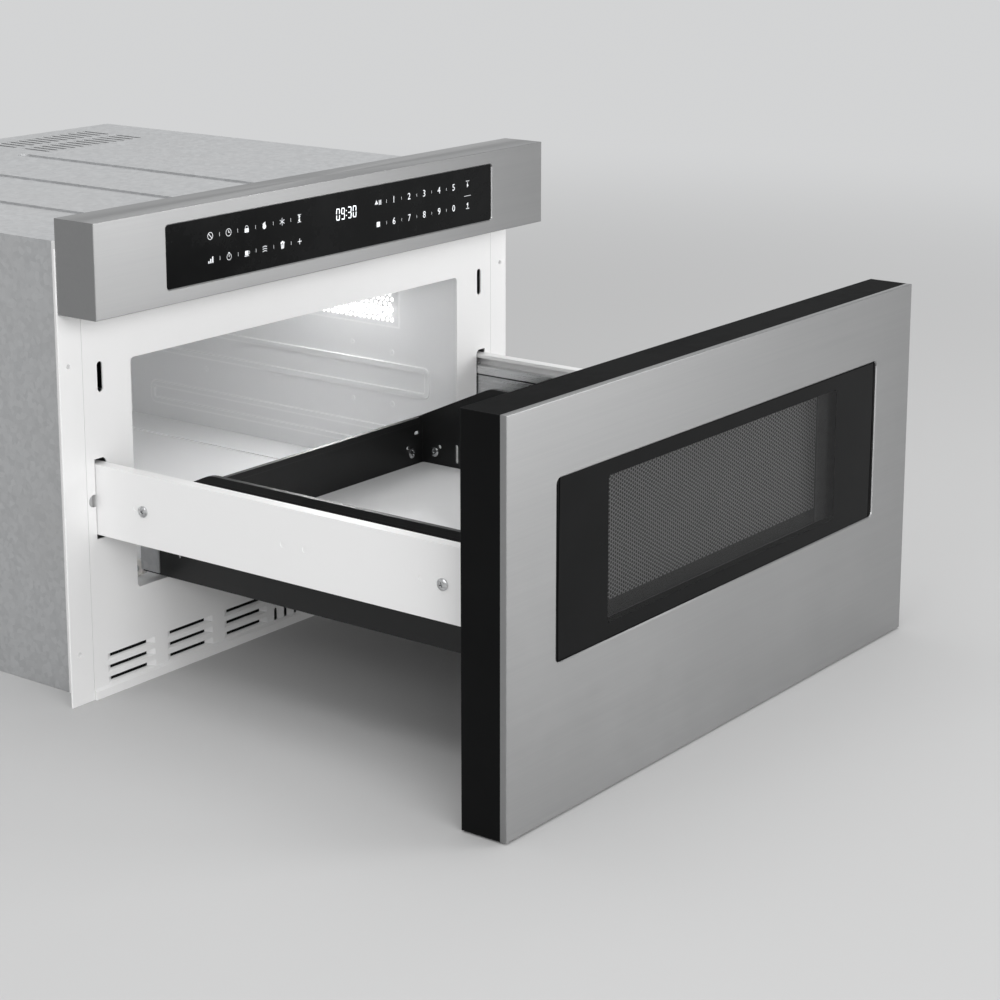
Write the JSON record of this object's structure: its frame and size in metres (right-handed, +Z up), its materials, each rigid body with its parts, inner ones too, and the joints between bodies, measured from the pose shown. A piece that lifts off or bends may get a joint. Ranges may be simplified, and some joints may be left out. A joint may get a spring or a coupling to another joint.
{
  "type": "microwave drawer",
  "caption": "Built-in microwave whose motor-driven drawer, with a windowed steel front, slides out of a light enamel cavity under a touch-control fascia.",
  "frame": {"origin": "centre of the chassis underside", "axes": "+X to the right seen from the front, +Y to the back, +Z up; the drawer opens towards -Y and is stored open"},
  "size_m": [0.608, 1.0128, 0.4204],
  "materials": {
    "brushed_stainless": "brushed along the width",
    "white_enamel": "smooth gloss",
    "cavity_enamel": "light grey enamel, satin",
    "galvanised": "zinc coated sheet",
    "zinc_slide": "zinc plated, rolled",
    "black_enamel": "satin black",
    "black_plastic": "fine satin",
    "black_glass": "polished, printed black behind",
    "window_glass": "polished, black printed border",
    "screen_steel": "perforated, dark",
    "glass_ceramic": "white glass-ceramic, polished",
    "chrome_screw": "plated",
    "circuit_board": "solder mask",
    "lamp_glass": "clear bulb",
    "cover_plastic": "pale heat-proof sheet",
    "transformer_steel": "varnished laminations",
    "bare_aluminium": "bare sheet",
    "gear_steel": "machined",
    "nylon": "natural"
  },
  "bodies": {
    "chassis": {"base_pan": "galvanised", "side_panel_left": "galvanised", "side_panel_right": "galvanised", "top_cover": "galvanised", "rear_panel": "galvanised", "front_frame": "white_enamel", "mount_flange_left": "white_enamel", "mount_flange_right": "white_enamel", "control_fascia": "brushed_stainless", "control_glass": "black_glass", "fascia_bracket": "galvanised", "control_board": "circuit_board", "cavity_wall_left": "cavity_enamel", "cavity_wall_right": "cavity_enamel", "cavity_floor": "cavity_enamel", "cavity_back": "cavity_enamel", "cavity_ceiling": "cavity_enamel", "lamp_grille": "cavity_enamel", "lamp_housing": "galvanised", "oven_lamp": "lamp_glass", "stirrer_cover": "cover_plastic", "waveguide": "galvanised", "stirrer_motor": "galvanised", "magnetron": "galvanised", "fan_shroud": "black_plastic", "hv_transformer": "transformer_steel", "cord_gland": "black_plastic", "rail_bracket_left": "galvanised", "rail_bracket_right": "galvanised", "slide_outer_left": "zinc_slide", "slide_outer_right": "zinc_slide", "latch_switches": "black_plastic", "drive_bracket": "galvanised", "drive_gearmotor": "black_plastic"},
    "drawer": {"door_skin": "brushed_stainless", "door_frame": "black_plastic", "door_glass": "window_glass", "door_screen": "screen_steel", "door_choke": "galvanised", "choke_cover": "black_plastic", "latch_hooks": "black_plastic", "rail_cover_left": "white_enamel", "rail_cover_right": "white_enamel", "slide_inner_left": "zinc_slide", "slide_inner_right": "zinc_slide", "drawer_side_left": "black_enamel", "drawer_side_right": "black_enamel", "drawer_back": "black_enamel", "drawer_floor_pan": "black_enamel", "glass_floor_plate": "glass_ceramic", "corner_brackets": "galvanised", "drawer_screws": "chrome_screw", "drive_rack": "nylon"},
    "middle_slide_left": {"slide_middle_left": "zinc_slide"},
    "middle_slide_right": {"slide_middle_right": "zinc_slide"},
    "pinion": {"drive_pinion": "gear_steel"},
    "roller_left": {"guide_roller_left": "nylon"},
    "roller_right": {"guide_roller_right": "nylon"},
    "stirrer": {"stirrer": "bare_aluminium"},
    "fan": {"fan_impeller": "black_plastic"}
  },
  "joints": [
    {"name": "drawer_slide", "type": "slide", "parent": "chassis", "child": "drawer", "axis": [0, 1, 0], "range_m": [0, 0.4138]},
    {"name": "middle_slide_left_travel", "type": "slide", "parent": "chassis", "child": "middle_slide_left", "axis": [0, 1, 0], "range_m": [0, 0.2069]},
    {"name": "middle_slide_right_travel", "type": "slide", "parent": "chassis", "child": "middle_slide_right", "axis": [0, 1, 0], "range_m": [0, 0.2069]},
    {"name": "pinion_spin", "type": "hinge", "parent": "chassis", "child": "pinion", "pos_m": [0, -0.2425, 0.04806], "axis": [-1, 0, 0], "range_deg": [0, 1506]},
    {"name": "roller_left_spin", "type": "hinge", "parent": "drawer", "child": "roller_left", "pos_m": [-0.1915, -0.2415, 0.0907], "axis": [-1, 0, 0], "range_deg": [0, 3388]},
    {"name": "roller_right_spin", "type": "hinge", "parent": "drawer", "child": "roller_right", "pos_m": [0.1915, -0.2415, 0.0907], "axis": [-1, 0, 0], "range_deg": [0, 3388]},
    {"name": "stirrer_spin", "type": "hinge", "parent": "chassis", "child": "stirrer", "pos_m": [0, -0.04, 0.3], "axis": [0, 0, 1], "continuous": true},
    {"name": "fan_spin", "type": "hinge", "parent": "chassis", "child": "fan", "pos_m": [0.15, 0.26, 0.3], "axis": [0, 1, 0], "continuous": true}
  ],
  "couplings": [
    {"joint": "middle_slide_left_travel", "follows": "drawer_slide", "ratio": 0.5},
    {"joint": "middle_slide_right_travel", "follows": "drawer_slide", "ratio": 0.5},
    {"joint": "pinion_spin", "follows": "drawer_slide", "rad_per_m": 63.492},
    {"joint": "roller_left_spin", "follows": "drawer_slide", "rad_per_m": 142.86},
    {"joint": "roller_right_spin", "follows": "drawer_slide", "rad_per_m": 142.86}
  ]
}
